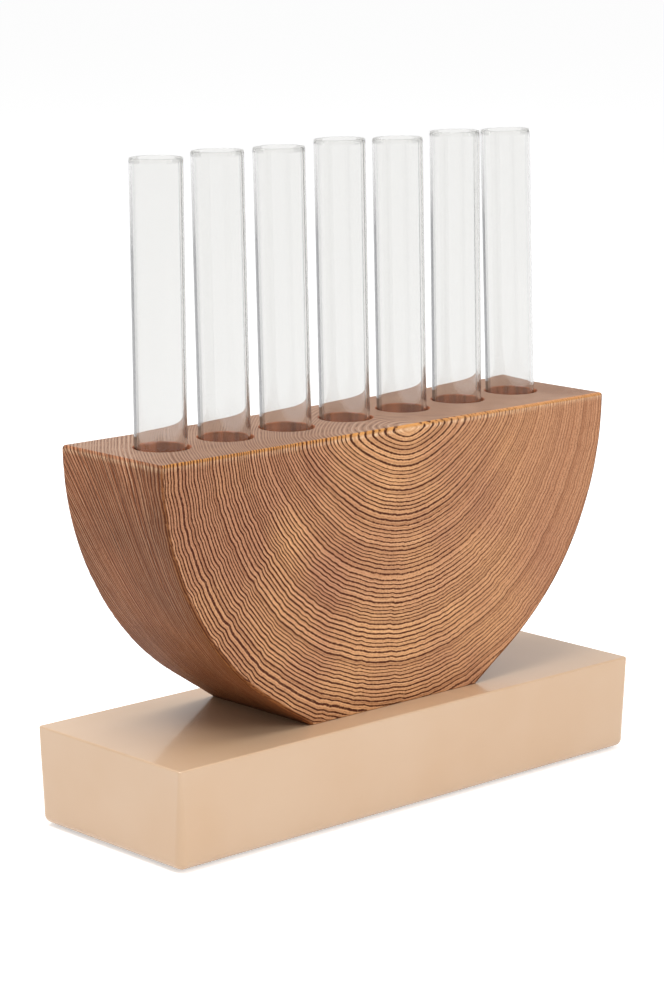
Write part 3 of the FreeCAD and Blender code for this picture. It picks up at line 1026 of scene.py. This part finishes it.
@dataclass
class CarvedBlock:
    """The half-round block, with its growth rings brushed open into fine grooves."""

    node: str = "half_round_block"
    pith_x: float = 8 * MM
    foot_length: float = 113 * MM
    roundness: float = 0.965
    edge_round: float = 1.6 * MM
    foot_round: float = 0.3 * MM
    arc_steps: int = 64
    flat_steps: int = 5
    foot_steps: int = 28
    corner_steps: int = 4
    round_steps: int = 4
    groove_depth: float = 0.42 * MM
    groove_half_width: float = 0.29
    foot_fade: float = 4 * MM
    back_edge_share: float = 0.9
    # Gold on the top front edge and along the side's front edge: partly wear, partly painted highlight.
    gold_rim_depth: float = 5 * MM
    gold_rim_start: float = 0.2
    gold_rim_growth: float = 2.6
    rim_share: float = 0.75
    gold_top_depth: float = 1.1 * MM
    gold_top_places: tuple[float, ...] = (0.0, 60 * MM, 110 * MM)
    gold_top_shares: tuple[float, ...] = (0.85, 0.45, 0.25)
    # Painted highlight: a pale band this far below the top edges.
    highlight_drop: float = 2 * MM
    highlight_width: float = 0.9 * MM
    face_depth: float = 0.1 * MM
    bore_radius: float = 13.2 * MM
    bore_depth: float = 45 * MM
    rim_round: float = 0.7 * MM
    rim_steps: int = 3
    bore_segments: int = 64
    seed: int = 7
    faintest: float = 0.72
    strongest: float = 1.15
    line_places: tuple[float, ...] = (-100 * MM, -35 * MM, 5 * MM, 45 * MM, 110 * MM)
    line_shares: tuple[float, ...] = (1.14, 0.92, 0.82, 0.74, 0.6)
    side_depth: float = 0.35
    ring_count: int = 140
    merge_distance: float = 0.004 * MM
    least_length: float = 0.002 * MM
    low: Vector = field(init=False)
    high: Vector = field(init=False)
    fan: Vector = field(init=False)
    rings: GrowthRings = field(init=False)
    strengths: np.ndarray = field(init=False)

    def __post_init__(self) -> None:
        """Read the block's box from the frame and place the rings in it."""
        self.low, self.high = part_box(self.node)
        self.fan = Vector((self.pith_x, self.low.y, self.high.z - self.edge_round))
        self.rings = GrowthRings(self.fan, self.fan.z)
        dice = random.Random(self.seed)
        strengths = [dice.uniform(self.faintest, self.strongest) for _ in range(self.ring_count)]
        self.strengths = np.array(strengths)

    def stations(self) -> list[Station]:
        """Walk the outline from the top's right corner round the foot to the left one.

        Returns:
            The stations, each with its way out from the block.
        """
        half_top, half_foot = self.high.x, self.foot_length / 2
        height = self.high.z - self.low.z
        overhang = half_top - half_foot
        arc_radius = self.roundness * (overhang**2 + height**2) / (2 * overhang)
        centre_x = half_top - arc_radius
        reach = math.hypot(half_foot - centre_x, height)
        slope = math.atan2(height, centre_x - half_foot) - math.asin(arc_radius / reach)
        run = math.sqrt(reach**2 - arc_radius**2)
        touch = (half_foot + run * math.cos(slope), run * math.sin(slope))
        swing = math.atan2(height - touch[1], touch[0] - centre_x)
        start = math.asin(self.edge_round / arc_radius)
        inset = arc_radius - self.edge_round
        corner = (half_top - self.edge_round, self.high.z - self.edge_round)

        right = [
            Station(*corner, math.cos(turn), math.sin(turn), self.edge_round)
            for turn in np.linspace(math.pi / 2, 0, self.corner_steps + 1)
        ]
        right += [
            Station(
                centre_x + inset * math.cos(turn), self.high.z - inset * math.sin(turn),
                math.cos(turn), -math.sin(turn), self.edge_round,
            )
            for turn in np.linspace(start, swing, self.arc_steps)[1:]
        ]
        out_x, out_z = math.cos(swing), -math.sin(swing)
        flat = np.linspace((touch[0], touch[1] + self.low.z), (half_foot, self.low.z), self.flat_steps)
        right += [
            Station(x - self.edge_round * out_x, z - self.edge_round * out_z, out_x, out_z, self.edge_round)
            for x, z in flat[1:]
        ]
        foot = [
            Station(x, self.low.z + self.foot_round, 0.0, -1.0, self.foot_round)
            for x in np.linspace(half_foot - self.edge_round, self.edge_round - half_foot, self.foot_steps)
        ]
        left = [Station(-s.x, s.z, -s.out_x, s.out_z, s.radius) for s in reversed(right)]
        return right + foot + left

    def row_numbers(self, low: float, high: float) -> np.ndarray:
        """List the ring numbers of the rows of vertices: both edges and the bottom of each groove.

        Args:
            low: The smallest ring number.
            high: The largest ring number.

        Returns:
            The numbers, in order.
        """
        half = self.groove_half_width
        rings = np.arange(math.ceil(low), math.floor(high) + 1)
        return (rings[:, None] + np.array((-half, 0.0, half))).ravel()

    def face_reaches(self, angles: np.ndarray, limits: np.ndarray) -> np.ndarray:
        """Return how far from the fan's centre, on the top edge, the rows of a flat face lie.

        The back face carries the same rings as the front.

        Args:
            angles: The columns' directions, from 0 along +X down to pi along -X.
            limits: The columns' lengths.

        Returns:
            The distances, with a row for each column of the face.
        """
        ends = self.fan.x + limits * np.cos(angles), self.fan.z - limits * np.sin(angles)
        last = self.rings.ring_at(ends[0], np.zeros_like(angles), ends[1]).max()
        numbers = self.row_numbers(self.groove_half_width, float(last) + 1)
        starts = np.tile((self.fan.x, 0.0, self.fan.z), (len(angles), 1))
        ways = np.stack([np.cos(angles), np.zeros_like(angles), -np.sin(angles)], axis=1)
        reaches = self.rings.crossings(numbers, starts, ways, np.zeros_like(limits), limits)
        inner = np.linspace(0, 1, self.corner_steps)[None, :-1] * reaches[:, :1]
        return np.concatenate([inner, reaches, limits[:, None]], axis=1)

    def add_face(self, bm: bmesh.types.BMesh, stations: list[Station], y: float) -> None:
        """Add the front or the back face, with its rows of vertices along the rings.

        Args:
            bm: The block's mesh.
            stations: The outline's stations.
            y: The face's place.
        """
        angles = np.array([math.atan2(max(self.fan.z - s.z, 0.0), s.x - self.fan.x) for s in stations])
        limits = np.array([math.hypot(s.x - self.fan.x, s.z - self.fan.z) for s in stations])
        reaches = self.face_reaches(angles, limits)

        def place(column: int, row: int) -> Sequence[float]:
            """Return a vertex's place on the face."""
            angle, reach = angles[column], reaches[column, row]
            return self.fan.x + reach * math.cos(angle), y, self.fan.z - reach * math.sin(angle)

        mapped_grid(bm, *reaches.shape, place, WoodFace.END)

    def add_side(self, bm: bmesh.types.BMesh, stations: list[Station]) -> None:
        """Add the rounded front and back edges and the side between them, all round the outline.

        Args:
            bm: The block's mesh.
            stations: The outline's stations.
        """
        turns = np.linspace(0, math.pi / 2, self.round_steps + 1)
        width = self.high.y - self.low.y
        outer = np.array([station.edge_point(math.pi / 2, self.low.y, 1) for station in stations])
        lowest = self.rings.ring_at(outer[:, 0], 0.0, outer[:, 2]).min()
        highest = self.rings.ring_at(outer[:, 0], width, outer[:, 2]).max()
        starts = np.stack([outer[:, 0], np.zeros(len(outer)), outer[:, 2]], axis=1)
        ways = np.tile((0.0, 1.0, 0.0), (len(outer), 1))
        radii = np.array([station.radius for station in stations])
        numbers = self.row_numbers(lowest, highest)
        depths = self.rings.crossings(numbers, starts, ways, radii, width - radii)
        rows = len(turns) + depths.shape[1] + len(turns)

        def place(column: int, row: int) -> Sequence[float]:
            """Return a vertex's place on the front edge, the side or the back edge.

            Args:
                column: The vertex's station on the outline.
                row: Its row, counted from the front face to the back.

            Returns:
                The place.
            """
            station = stations[column]
            if row < len(turns):
                return station.edge_point(turns[row], self.low.y, 1)
            if row >= rows - len(turns):
                return station.edge_point(turns[rows - 1 - row], self.high.y, -1)
            return outer[column, 0], self.low.y + depths[column, row - len(turns)], outer[column, 2]

        mapped_grid(bm, len(stations), rows, place, WoodFace.SIDE)

    def add_top_edge(self, bm: bmesh.types.BMesh, half_length: float, y: float, inward: float) -> None:
        """Add the rounded edge between the top and the front or back face.

        Args:
            bm: The block's mesh.
            half_length: Half of the edge's length.
            y: The place of the front or back face.
            inward: 1 for the front face, -1 for the back.
        """
        turns = np.linspace(0, math.pi / 2, self.round_steps + 1)
        limits = np.array((half_length - self.fan.x, half_length + self.fan.x))
        right, left = self.face_reaches(np.array((0.0, math.pi)), limits)
        places = np.unique(np.concatenate([self.fan.x + right, self.fan.x - left]))
        upright = Station(0.0, self.fan.z, 0.0, 1.0, self.edge_round)

        def place(column: int, row: int) -> Sequence[float]:
            """Return a vertex's place on the edge."""
            return upright.edge_point(turns[row], y, inward) + Vector((places[column], 0, 0))

        mapped_grid(bm, len(places), len(turns), place, WoodFace.END)

    def add_bore(self, bm: bmesh.types.BMesh, x: float) -> list[bmesh.types.BMEdge]:
        """Add a bore with a softened rim.

        Args:
            bm: The block's mesh.
            x: The bore's place in the row.

        Returns:
            The edges of the rim, which the top is filled up to.
        """
        radius, depth = self.bore_radius + self.rim_round, 0.0
        mouth = Matrix.Translation((x, 0, self.high.z))
        middle = Matrix.Translation((-x, 0, -self.high.z))
        ring = bmesh.ops.create_circle(bm, segments=self.bore_segments, radius=radius, matrix=mouth)
        rim = edges = list({edge for vertex in ring["verts"] for edge in vertex.link_edges})
        steps = [
            (self.bore_radius + self.rim_round * (1 - math.sin(turn)), self.rim_round * (1 - math.cos(turn)))
            for turn in np.linspace(0, math.pi / 2, self.rim_steps + 1)[1:]
        ]
        steps.append((self.bore_radius, self.bore_depth))
        for next_radius, next_depth in steps:
            made = bmesh.ops.extrude_edge_only(bm, edges=edges)["geom"]
            vertices = [item for item in made if isinstance(item, bmesh.types.BMVert)]
            edges = [item for item in made if isinstance(item, bmesh.types.BMEdge)]
            share = next_radius / radius
            bmesh.ops.scale(bm, verts=vertices, vec=(share, share, 1), space=middle)
            bmesh.ops.translate(bm, verts=vertices, vec=(0, 0, depth - next_depth))
            for vertex in vertices:
                for face in vertex.link_faces:
                    face.material_index = WoodFace.BORE.value
                    face.smooth = True
            radius, depth = next_radius, next_depth
        floor = bmesh.ops.contextual_create(bm, geom=edges)["faces"]
        for face in floor:
            face.material_index = WoodFace.BORE.value
        return rim

    def carve(self, bm: bmesh.types.BMesh) -> None:
        """Sink the grooves and note on each vertex its ring number, its line, its gold edge (partly wear,
        partly painted highlight) and its pale painted highlight.

        Args:
            bm: The block's closed mesh.
        """
        layers = {name: bm.verts.layers.float.new(name) for name in ("ring", "line", "gold_edge", "edge_highlight")}
        places = np.array([vertex.co for vertex in bm.verts])
        depths = np.maximum(places[:, 1] - self.low.y, 0)
        depths[places[:, 1] > self.high.y - self.back_edge_share * self.edge_round] = 0
        numbers = self.rings.ring_at(places[:, 0], depths, places[:, 2])
        nearest = np.clip(np.rint(numbers), 0, self.ring_count - 1).astype(int)
        strengths = self.strengths[nearest] * np.interp(places[:, 0], self.line_places, self.line_shares)
        nearness = 1 - np.abs(numbers - nearest) / self.groove_half_width
        profiles = np.clip(nearness, 0, 1) * strengths * (nearest > 0)
        heights = places[:, 2]
        carved = np.clip((heights - self.low.z) / self.foot_fade, 0, 1) * (heights < self.high.z - TINY)
        flatness = self.side_depth + (1 - self.side_depth) * np.abs([vertex.normal.y for vertex in bm.verts])
        sinks = self.groove_depth * profiles * carved * flatness
        sunk = [vertex.normal * float(-depth) for vertex, depth in zip(bm.verts, sinks)]
        for index, vertex in enumerate(bm.verts):
            vertex[layers["ring"]] = numbers[index]
            vertex[layers["line"]] = profiles[index]
            vertex[layers["gold_edge"]], vertex[layers["edge_highlight"]] = self.gold_and_highlight_at(vertex.co, depths[index])
            vertex.co += sunk[index]

    def gold_and_highlight_at(self, point: Vector, depth: float) -> tuple[float, float]:
        """Return how much gold a point takes on the outer edges, partly wear and partly painted highlight,
        and how much pale painted highlight it takes just below the top edge.

        Args:
            point: The point.
            depth: Its distance behind the front face.

        Returns:
            The two shares, from 0 to 1.
        """
        drop = max(0.0, self.high.z - point.z)
        below = drop / (self.high.z - self.low.z)
        from_top = 0.0
        if depth < 2 * self.edge_round:
            from_top = math.exp(-((drop / self.gold_top_depth) ** 2))
            from_top *= float(np.interp(point.x, self.gold_top_places, self.gold_top_shares))
        width = self.gold_rim_depth * (self.gold_rim_start + self.gold_rim_growth * below**2)
        rim = math.exp(-depth / width) if depth > self.face_depth else 0.0
        pale = math.exp(-(((drop - self.highlight_drop) / self.highlight_width) ** 2))
        return min(1.0, max(from_top, self.rim_share * rim)), pale

    def build(self, bore_places: Sequence[float]) -> bpy.types.Object:
        """Build the block.

        Args:
            bore_places: The bores' places in the row.

        Returns:
            The block's object.
        """
        bm = bmesh.new()
        stations = self.stations()
        sides = stations[self.corner_steps:len(stations) - self.corner_steps]
        self.add_face(bm, sides, self.low.y)
        self.add_face(bm, sides, self.high.y)
        self.add_side(bm, stations)
        half_length = stations[0].x
        self.add_top_edge(bm, half_length, self.low.y, 1)
        self.add_top_edge(bm, half_length, self.high.y, -1)
        bmesh.ops.remove_doubles(bm, verts=bm.verts[:], dist=self.merge_distance)
        bmesh.ops.dissolve_degenerate(bm, dist=self.least_length, edges=bm.edges[:])
        open_edges = [edge for edge in bm.edges if edge.is_boundary]
        rims = [edge for x in bore_places for edge in self.add_bore(bm, x)]
        top = bmesh.ops.triangle_fill(bm, edges=open_edges + rims, use_beauty=True, normal=(0, 0, 1))["geom"]
        for item in top:
            if isinstance(item, bmesh.types.BMFace):
                item.material_index = WoodFace.TOP.value
                item.smooth = False
        bmesh.ops.recalc_face_normals(bm, faces=bm.faces[:])
        bm.normal_update()
        self.carve(bm)
        loose = sum(1 for edge in bm.edges if not edge.is_manifold)
        log.info("the block has %d faces and %d edges that aren't closed", len(bm.faces), loose)
        finish = WoodFinish(self.rings)
        block = finished_object(bm, "carved_block", [finish.material(face) for face in WoodFace])
        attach(block, STAND)
        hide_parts(self.node)
        log.info("built %s", block.name)
        return block


@dataclass
class TestTube:
    """A round-bottomed glass tube with a fire-polished lip, which lifts out of its bore.

    The record's mouth reaches past the centre of the round bottom by the overlap. The lip starts and
    clears a number of walls below its top, and a way across points to the side whose edge is painted dark.
    """

    number: int
    wall: float = 1.2 * MM
    mouth_overlap: float = 1 * MM
    lip_walls: float = 2.2
    clear_walls: float = 2.0
    segments: int = 96
    bottom_steps: int = 14
    lip_steps: int = 8
    wall_steps: int = 12
    merge_distance: float = 0.002 * MM
    # Painted shade: a dark line on one side of the wall, fading out towards the lip.
    painted_shade_fade: float = 45 * MM
    painted_shade_way: Vector = field(default_factory=lambda: Vector((-0.73, 0.68)))

    def profile(self, inner: float, top: float) -> list[tuple[float, float]]:
        """Draw half of the tube's section, from the bottom up the outside, over the lip and down the inside.

        Args:
            inner: The radius of the inside.
            top: The height of the lip above the centre of the round bottom.

        Returns:
            The section's points, each as its distance from the axis and its height.
        """
        outer = inner + self.wall
        middle, bead = (inner + outer) / 2, self.wall / 2
        lip_start = top - self.lip_walls * self.wall
        turns = np.linspace(0, math.pi / 2, self.bottom_steps + 1)
        return [
            *((outer * math.sin(turn), -outer * math.cos(turn)) for turn in turns),
            *((outer, height) for height in np.linspace(0, lip_start, self.wall_steps + 1)[1:]),
            *(
                (middle + bead * math.cos(turn), top - bead + bead * math.sin(turn))
                for turn in np.linspace(0, math.pi, self.lip_steps + 1)
            ),
            (inner, lip_start),
            *((inner * math.cos(turn), -inner * math.sin(turn)) for turn in turns),
        ]

    def mark(self, bm: bmesh.types.BMesh, outer: float, top: float) -> None:
        """Note on each vertex whether it belongs to the lip and how much painted shade its edge takes.

        Args:
            bm: The tube's mesh, upright, with the centre of its round bottom at the origin.
            outer: The radius of the outside.
            top: The height of the lip.
        """
        lip, painted_shade_side = (bm.verts.layers.float.new(name) for name in ("lip", "painted_shade_side"))
        for vertex in bm.verts:
            away = vertex.co.xy.dot(self.painted_shade_way) / outer
            down = (top - vertex.co.z) / self.painted_shade_fade
            vertex[lip] = float(vertex.co.z > top - self.clear_walls * self.wall)
            vertex[painted_shade_side] = max(0.0, away) * min(1.0, max(0.0, down))

    def build(self, material: bpy.types.Material) -> bpy.types.Object:
        """Build the tube where its mouth and its axis stand in the record.

        Args:
            material: The glass.

        Returns:
            The tube's object.
        """
        node = f"test_tube_{self.number}"
        mouth = next(m for m in frame["record"]["mounts"] if m["name"] == f"mouth_{self.number}")
        axis = Vector(mouth["axis"]).normalized()
        inner = mouth["dims"]["r_mm"] * MM
        outer = inner + self.wall
        ball = Vector(mouth["pos_m"]) - axis * (mouth["dims"]["length_mm"] * MM - self.mouth_overlap)
        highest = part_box(node)[1].z
        top = (highest - ball.z - outer * math.hypot(axis.x, axis.y)) / axis.z

        bm = bmesh.new()
        points = [bm.verts.new((x, 0, z)) for x, z in self.profile(inner, top)]
        edges = [bm.edges.new(pair) for pair in zip(points, points[1:])]
        bmesh.ops.spin(
            bm, geom=points + edges, cent=(0, 0, 0), axis=(0, 0, 1), angle=2 * math.pi,
            steps=self.segments, use_merge=True,
        )
        bmesh.ops.remove_doubles(bm, verts=bm.verts[:], dist=self.merge_distance)
        bmesh.ops.recalc_face_normals(bm, faces=bm.faces[:])
        for face in bm.faces:
            face.smooth = True
        self.mark(bm, outer, top)
        upright = Vector((0, 0, 1)).rotation_difference(axis).to_matrix().to_4x4()
        bmesh.ops.transform(bm, matrix=Matrix.Translation(ball) @ upright, verts=bm.verts[:])

        tube = finished_object(bm, f"glass_tube_{self.number}", [material])
        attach(tube, f"tube_{self.number}")
        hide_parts(node)
        log.info("built %s", tube.name)
        return tube


@dataclass
class FeltPad:
    """A soft felt disc under one corner of the slab."""

    node: str
    segments: int = 72
    edge_share: float = 0.35
    edge_steps: int = 3

    def build(self, material: bpy.types.Material) -> bpy.types.Object:
        """Build the pad in place of its plain disc.

        Args:
            material: The felt.

        Returns:
            The pad's object.
        """
        low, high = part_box(self.node)
        middle, size = (low + high) / 2, high - low
        bm = bmesh.new()
        bmesh.ops.create_cone(
            bm, cap_ends=True, segments=self.segments, radius1=size.x / 2, radius2=size.x / 2,
            depth=size.z, matrix=Matrix.Translation(middle),
        )
        rims = [edge for edge in bm.edges if abs(edge.verts[0].co.z - edge.verts[1].co.z) < size.z / 2]
        bmesh.ops.bevel(
            bm, geom=rims, offset=self.edge_share * size.z, affect="EDGES", segments=self.edge_steps,
            profile=0.5, material=-1,
        )
        for face in bm.faces:
            face.smooth = len(face.verts) == 4
        pad = finished_object(bm, self.node.replace("felt_pad", "felt_disc"), [material])
        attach(pad, STAND)
        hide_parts(self.node)
        log.info("built %s", pad.name)
        return pad


@dataclass
class Stand:
    """What stands still: the slab, the block, the hidden fixings and the pads."""

    pads: tuple[str, ...] = ("front_left", "front_right", "back_left", "back_right")
    bore_margin: float = 30.8 * MM

    def bore_places(self, block: CarvedBlock) -> list[float]:
        """Return the bores' places in the row, evenly spaced between those of the outermost tubes."""
        ends = block.low.x + self.bore_margin, block.high.x - self.bore_margin
        return [float(x) for x in np.linspace(*ends, TUBE_COUNT)]

    def build(self) -> None:
        """Build and dress the stand."""
        dress_node("base_slab", LacquerFinish().material())
        dress_node("fixing_screws", SteelFinish("screw_steel").material())
        dress_node("screw_washers", SteelFinish("washer_steel").material())
        dress_node("locating_dowels", DowelFinish().material())
        block = CarvedBlock()
        block.build(self.bore_places(block))
        felt = FeltFinish().material()
        for corner in self.pads:
            FeltPad(f"felt_pad_{corner}").build(felt)


@dataclass(frozen=True)
class Lamp:
    """A large soft studio lamp."""

    name: str
    place: Vector
    width: float
    power: float

    def build(self, target: Vector) -> None:
        """Add the lamp, turned to a target.

        Args:
            target: What the lamp points at.
        """
        light = bpy.data.lights.new(self.name, "AREA")
        light.shape = "SQUARE"
        light.size = self.width
        light.energy = self.power
        lamp = bpy.data.objects.new(self.name, light)
        lamp.location = self.place
        lamp.rotation_euler = (target - self.place).to_track_quat("-Z", "Y").to_euler()
        bpy.context.scene.collection.objects.link(lamp)


@dataclass
class Studio:
    """The floor, the light and the camera."""

    floor_size: float = 60.0
    floor_tone: float = 0.9
    floor_glow: float = 0.48
    world_strength: float = 0.55
    glossy_share: float = 0.7
    camera_place: Vector = field(default_factory=lambda: Vector((-0.97763, -1.04216, 0.44045)))
    yaw: float = 0.748793
    pitch: float = 0.203197
    focal_length: float = 106.63
    sensor_width: float = 36.0
    nearest: float = 0.05
    farthest: float = 200.0
    lamps: tuple[Lamp, ...] = (
        Lamp("key", Vector((0.25, -1.9, 1.4)), 1.2, 15.0),
        Lamp("top", Vector((-0.4, 0.1, 1.9)), 1.4, 34.0),
    )

    def build_camera(self) -> None:
        """Stand the camera where the photograph was taken from."""
        lens = bpy.data.cameras.new("photo_camera")
        lens.sensor_fit = "AUTO"
        lens.sensor_width = self.sensor_width
        lens.lens = self.focal_length
        lens.clip_start = self.nearest
        lens.clip_end = self.farthest
        camera = bpy.data.objects.new("photo_camera", lens)
        camera.location = self.camera_place
        camera.rotation_euler = (math.pi / 2 - self.pitch, 0, -self.yaw)
        bpy.context.scene.collection.objects.link(camera)
        bpy.context.scene.camera = camera

    def build_floor(self) -> None:
        """Lay a pale floor, white to the eye but still taking the object's shadow."""
        graph = Graph("floor_paper")
        tone = (self.floor_tone, self.floor_tone, self.floor_tone, 1)
        graph.feed(graph.shader, {"Base Color": tone, "Roughness": 1.0, "Specular IOR Level": 0.0})
        paper = graph.shader.outputs[0]
        glow, backdrop = (
            graph.add("ShaderNodeEmission", {"Color": WHITE, "Strength": strength}).outputs[0]
            for strength in (self.floor_glow, 1.0)
        )
        paths = graph.add("ShaderNodeLightPath").outputs
        both = graph.add("ShaderNodeAddShader", {0: paper, 1: glow}).outputs[0]
        seen = graph.math("MAXIMUM", paths["Is Camera Ray"], paths["Is Glossy Ray"])
        direct = graph.add("ShaderNodeMixShader", {0: seen, 1: paper, 2: both}).outputs[0]
        through = {0: paths["Is Transmission Ray"], 1: direct, 2: backdrop}
        graph.feed(graph.output, {"Surface": graph.add("ShaderNodeMixShader", through).outputs[0]})
        bm = bmesh.new()
        bmesh.ops.create_grid(bm, x_segments=1, y_segments=1, size=self.floor_size / 2)
        floor = finished_object(bm, "floor", [graph.material])

    def build_world(self) -> None:
        """Surround the object with white that is softer as light than it looks."""
        world = bpy.data.worlds.new("studio_white")
        world.use_nodes = True
        nodes, links = world.node_tree.nodes, world.node_tree.links
        nodes.clear()
        output = nodes.new("ShaderNodeOutputWorld")
        light, seen = (nodes.new("ShaderNodeBackground") for _ in range(2))
        pick = nodes.new("ShaderNodeMixShader")
        light.inputs["Strength"].default_value = self.world_strength
        for white in (light, seen):
            white.inputs["Color"].default_value = WHITE
        paths = nodes.new("ShaderNodeLightPath").outputs
        joined, shiny, softened = (nodes.new("ShaderNodeMath") for _ in range(3))
        joined.operation = shiny.operation = "MAXIMUM"
        softened.operation = "MULTIPLY"
        softened.inputs[1].default_value = self.glossy_share
        for source, target in (
            (paths["Is Glossy Ray"], softened.inputs[0]),
            (paths["Is Camera Ray"], joined.inputs[0]),
            (paths["Is Transmission Ray"], joined.inputs[1]),
            (joined.outputs[0], shiny.inputs[0]),
            (softened.outputs[0], shiny.inputs[1]),
            (shiny.outputs[0], pick.inputs[0]),
            (light.outputs[0], pick.inputs[1]),
            (seen.outputs[0], pick.inputs[2]),
            (pick.outputs[0], output.inputs["Surface"]),
        ):
            links.new(source, target)
        bpy.context.scene.world = world

    def build(self) -> None:
        """Build the studio round the object."""
        self.build_camera()
        self.build_floor()
        self.build_world()
        low, high = CAD_BOX
        for lamp in self.lamps:
            lamp.build((low + high) / 2)
        bpy.context.scene.view_settings.view_transform = "Standard"


def main() -> None:
    """Build every part of the scene."""
    logging.basicConfig(level=logging.INFO, format="%(name)s: %(message)s")
    Stand().build()
    glass = GlassFinish().material()
    for number in range(1, TUBE_COUNT + 1):
        TestTube(number).build(glass)
    Studio().build()


if __name__ == "__main__":
    main()
